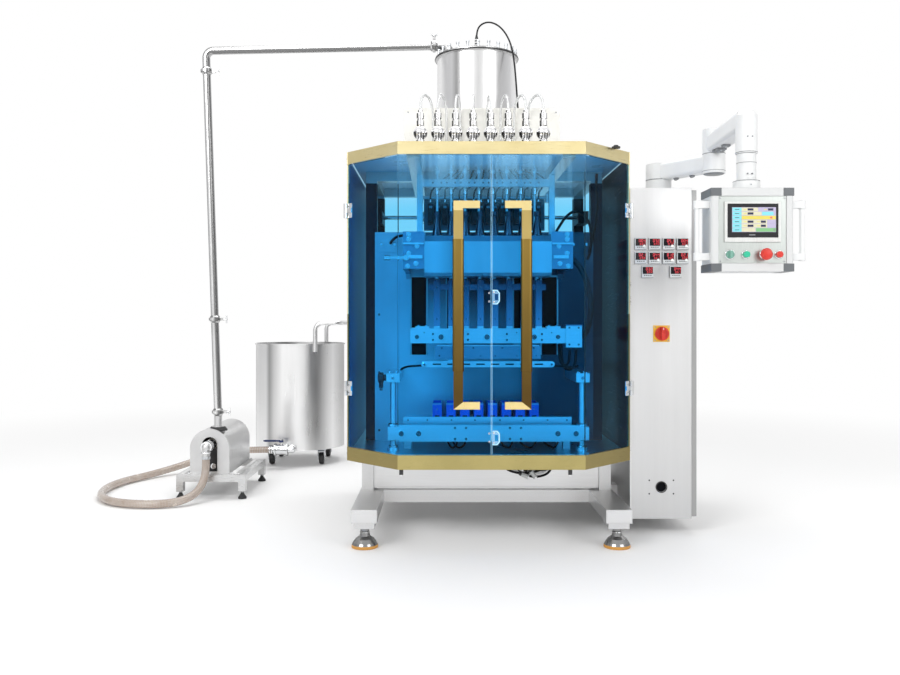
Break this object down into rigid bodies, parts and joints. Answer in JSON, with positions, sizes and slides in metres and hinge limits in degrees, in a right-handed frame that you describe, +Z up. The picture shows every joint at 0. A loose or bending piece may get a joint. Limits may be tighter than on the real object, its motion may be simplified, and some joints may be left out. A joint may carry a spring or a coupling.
{
  "type": "vertical form fill seal machine",
  "caption": "Multi-lane vertical form fill seal machine for liquid sticks, with blue bent doors, swivel operator panel, feed pump and wheeled tank.",
  "frame": {"origin": "on the floor under the middle of the line's outer box, without its hose and cable", "axes": "+X to the operator's right, +Y away from the operator, +Z up"},
  "size_m": [2.9815, 2.7193, 2.3218],
  "materials": {
    "painted_frame": "satin",
    "stainless": "brushed",
    "polished": "polished",
    "gold_trim": "satin metallic",
    "blue_acrylic": "clear tinted",
    "pale_panel": "satin",
    "clear_plastic": "clear",
    "blue_chute": "satin",
    "white_paint": "satin",
    "dark_plastic": "satin",
    "yellow_plate": "satin",
    "red_plastic": "gloss",
    "green_plastic": "gloss",
    "film": "gloss",
    "roller_metal": "satin",
    "blue_lever": "satin",
    "black_rubber": "matte",
    "hose": "translucent",
    "cable": "matte"
  },
  "bodies": {
    "root": {"machine_frame": "painted_frame", "levelling_feet": "polished", "base_panels": "stainless", "body_panels": "stainless", "guard_frame": "gold_trim", "hinge_leaves": "polished", "work_panel": "pale_panel", "guide_frame": "stainless", "forming_block": "stainless", "chutes": "blue_chute", "cabinet_shell": "stainless", "cabinet_equipment": "dark_plastic", "temperature_controllers": "dark_plastic", "main_switch_plate": "yellow_plate", "arm_base": "white_paint", "hopper": "stainless", "hopper_lid": "clear_plastic", "sensor_cable": "cable", "filling_heads": "polished", "filling_tubes": "clear_plastic", "filling_guard": "clear_plastic", "pump_housing": "stainless", "pump_stand": "stainless", "feed_pipe": "polished", "tank": "stainless", "tank_valve": "stainless", "suction_hose": "hose"},
    "left_door": {"door_left_panel": "blue_acrylic", "door_left_handle": "gold_trim", "door_left_hinges": "polished"},
    "right_door": {"door_right_panel": "blue_acrylic", "door_right_handle": "gold_trim", "door_right_hinges": "polished"},
    "cabinet_side_door": {"cabinet_door": "stainless"},
    "main_switch": {"main_switch_knob": "red_plastic"},
    "side_clamp": {"clamp_lever": "dark_plastic"},
    "vertical_sealer": {"seal_bar": "stainless"},
    "cross_sealer": {"cutter_bar": "stainless"},
    "carriage": {"pull_carriage": "stainless"},
    "reel": {"film_reel": "film"},
    "roller": {"film_roller": "roller_metal"},
    "lower_arm": {"arm_lower": "white_paint"},
    "upper_arm": {"arm_upper": "white_paint"},
    "operator_panel": {"arm_neck": "white_paint", "hmi_box": "white_paint", "hmi_front_plate": "stainless", "hmi_handles": "dark_plastic"},
    "selector": {"selector_knob": "dark_plastic"},
    "start_button": {"green_button": "green_plastic"},
    "stop_button": {"red_button": "red_plastic"},
    "emergency_button": {"emergency_stop": "red_plastic"},
    "drain_lever": {"valve_lever": "blue_lever"},
    "caster_1": {"caster_fork_1": "polished"},
    "wheel_1": {"caster_wheel_1": "black_rubber"},
    "caster_2": {"caster_fork_2": "polished"},
    "wheel_2": {"caster_wheel_2": "black_rubber"},
    "caster_3": {"caster_fork_3": "polished"},
    "wheel_3": {"caster_wheel_3": "black_rubber"},
    "caster_4": {"caster_fork_4": "polished"},
    "wheel_4": {"caster_wheel_4": "black_rubber"}
  },
  "joints": [
    {"name": "left_door_hinge", "type": "hinge", "parent": "root", "child": "left_door", "pos_m": [-0.37096, -0.77756, 0.93], "axis": [0, 0, -1], "range_deg": [0, 110]},
    {"name": "right_door_hinge", "type": "hinge", "parent": "root", "child": "right_door", "pos_m": [0.79196, -0.77756, 0.93], "axis": [0, 0, 1], "range_deg": [0, 60]},
    {"name": "cabinet_door_hinge", "type": "hinge", "parent": "root", "child": "cabinet_side_door", "pos_m": [1.0633, 0.0457, 0.74], "axis": [0, 0, 1], "range_deg": [0, 110]},
    {"name": "main_switch_turn", "type": "hinge", "parent": "root", "child": "main_switch", "pos_m": [0.9195, -0.7673, 0.82], "axis": [0, 1, 0], "range_deg": [0, 90]},
    {"name": "side_clamp_turn", "type": "hinge", "parent": "root", "child": "side_clamp", "pos_m": [-0.1255, -0.7453, 1.131], "axis": [0, 1, 0], "range_deg": [0, 80]},
    {"name": "vertical_sealer_stroke", "type": "slide", "parent": "root", "child": "vertical_sealer", "axis": [0, 1, 0], "range_m": [0, 0.018]},
    {"name": "cross_sealer_stroke", "type": "slide", "parent": "root", "child": "cross_sealer", "axis": [0, 1, 0], "range_m": [0, 0.015]},
    {"name": "carriage_stroke", "type": "slide", "parent": "root", "child": "carriage", "axis": [0, 0, 1], "range_m": [0, 0.12]},
    {"name": "reel_turn", "type": "hinge", "parent": "root", "child": "reel", "pos_m": [0.2105, -0.0103, 0.64], "axis": [1, 0, 0], "continuous": true},
    {"name": "roller_turn", "type": "hinge", "parent": "root", "child": "roller", "pos_m": [0.2105, -0.0103, 1.38], "axis": [1, 0, 0], "continuous": true},
    {"name": "arm_base_swivel", "type": "hinge", "parent": "root", "child": "lower_arm", "pos_m": [0.9385, -0.6283, 1.49], "axis": [0, 0, 1], "range_deg": [-10, 80]},
    {"name": "arm_elbow_swivel", "type": "hinge", "parent": "lower_arm", "child": "upper_arm", "pos_m": [1.1005, -0.8583, 1.56], "axis": [0, 0, 1], "range_deg": [-15, 75]},
    {"name": "panel_swivel", "type": "hinge", "parent": "upper_arm", "child": "operator_panel", "pos_m": [1.0865, -1.2653, 1.48], "axis": [0, 0, 1], "range_deg": [-45, 90]},
    {"name": "selector_turn", "type": "hinge", "parent": "operator_panel", "child": "selector", "pos_m": [1.0095, -1.3333, 1.101], "axis": [0, 1, 0], "range_deg": [-45, 45]},
    {"name": "start_button_press", "type": "slide", "parent": "operator_panel", "child": "start_button", "axis": [0, 1, 0], "range_m": [0, 0.004], "stiffness_N_per_m": 300},
    {"name": "stop_button_press", "type": "slide", "parent": "operator_panel", "child": "stop_button", "axis": [0, 1, 0], "range_m": [0, 0.004], "stiffness_N_per_m": 300},
    {"name": "emergency_stop_press", "type": "slide", "parent": "operator_panel", "child": "emergency_button", "axis": [0, 1, 0], "range_m": [0, 0.004], "stiffness_N_per_m": 300},
    {"name": "drain_lever_turn", "type": "hinge", "parent": "root", "child": "drain_lever", "pos_m": [-0.9185, 0.7697, 0.165], "axis": [0, 0, 1], "range_deg": [0, 90]},
    {"name": "caster_1_swivel", "type": "hinge", "parent": "root", "child": "caster_1", "pos_m": [-1.0075, 0.9347, 0.09], "axis": [0, 0, 1], "continuous": true},
    {"name": "caster_1_roll", "type": "hinge", "parent": "caster_1", "child": "wheel_1", "pos_m": [-1.0075, 0.9587, 0.0375], "axis": [1, 0, 0], "continuous": true},
    {"name": "caster_2_swivel", "type": "hinge", "parent": "root", "child": "caster_2", "pos_m": [-1.0075, 1.2347, 0.09], "axis": [0, 0, 1], "continuous": true},
    {"name": "caster_2_roll", "type": "hinge", "parent": "caster_2", "child": "wheel_2", "pos_m": [-1.0075, 1.2587, 0.0375], "axis": [1, 0, 0], "continuous": true},
    {"name": "caster_3_swivel", "type": "hinge", "parent": "root", "child": "caster_3", "pos_m": [-0.7075, 0.9347, 0.09], "axis": [0, 0, 1], "continuous": true},
    {"name": "caster_3_roll", "type": "hinge", "parent": "caster_3", "child": "wheel_3", "pos_m": [-0.7075, 0.9587, 0.0375], "axis": [1, 0, 0], "continuous": true},
    {"name": "caster_4_swivel", "type": "hinge", "parent": "root", "child": "caster_4", "pos_m": [-0.7075, 1.2347, 0.09], "axis": [0, 0, 1], "continuous": true},
    {"name": "caster_4_roll", "type": "hinge", "parent": "caster_4", "child": "wheel_4", "pos_m": [-0.7075, 1.2587, 0.0375], "axis": [1, 0, 0], "continuous": true}
  ]
}
